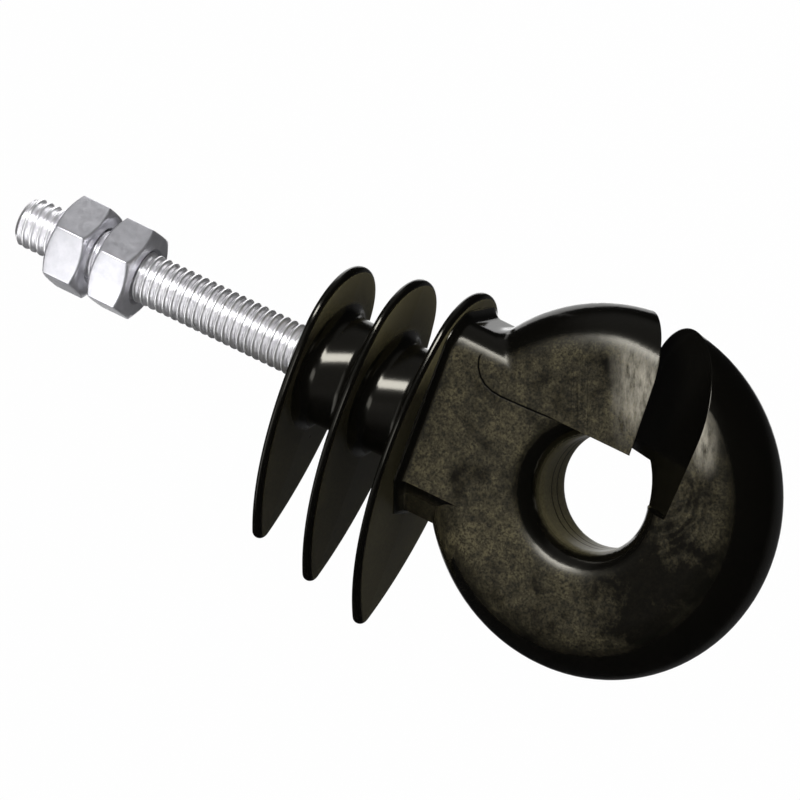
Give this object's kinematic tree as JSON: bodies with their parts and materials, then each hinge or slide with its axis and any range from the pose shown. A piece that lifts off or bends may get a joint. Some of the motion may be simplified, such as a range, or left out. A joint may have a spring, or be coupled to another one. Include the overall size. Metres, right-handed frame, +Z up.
{
  "type": "ring insulator",
  "caption": "Black moulded ring insulator for electric fencing: slotted ring, drip sheds on a neck and a plated threaded stud with loose hexagon nuts.",
  "frame": {"origin": "on the stud's axis, in the flat seat at the end of the neck where the stud leaves the body", "axes": "+X along the stud from the seat towards the ring, +Z up towards the slot of the ring, the ring's axis along Y and the wide mouth of the slot at -Y"},
  "size_m": [0.0991, 0.021, 0.0479],
  "materials": {
    "black_plastic": "semi-gloss moulded plastic",
    "zinc_stud": "bright zinc plating, rolled thread",
    "zinc_nut": "bright zinc plating"
  },
  "bodies": {
    "root": {"insulator_body": "black_plastic", "threaded_stud": "zinc_stud", "inner_nut": "zinc_nut", "outer_nut": "zinc_nut"}
  },
  "joints": []
}
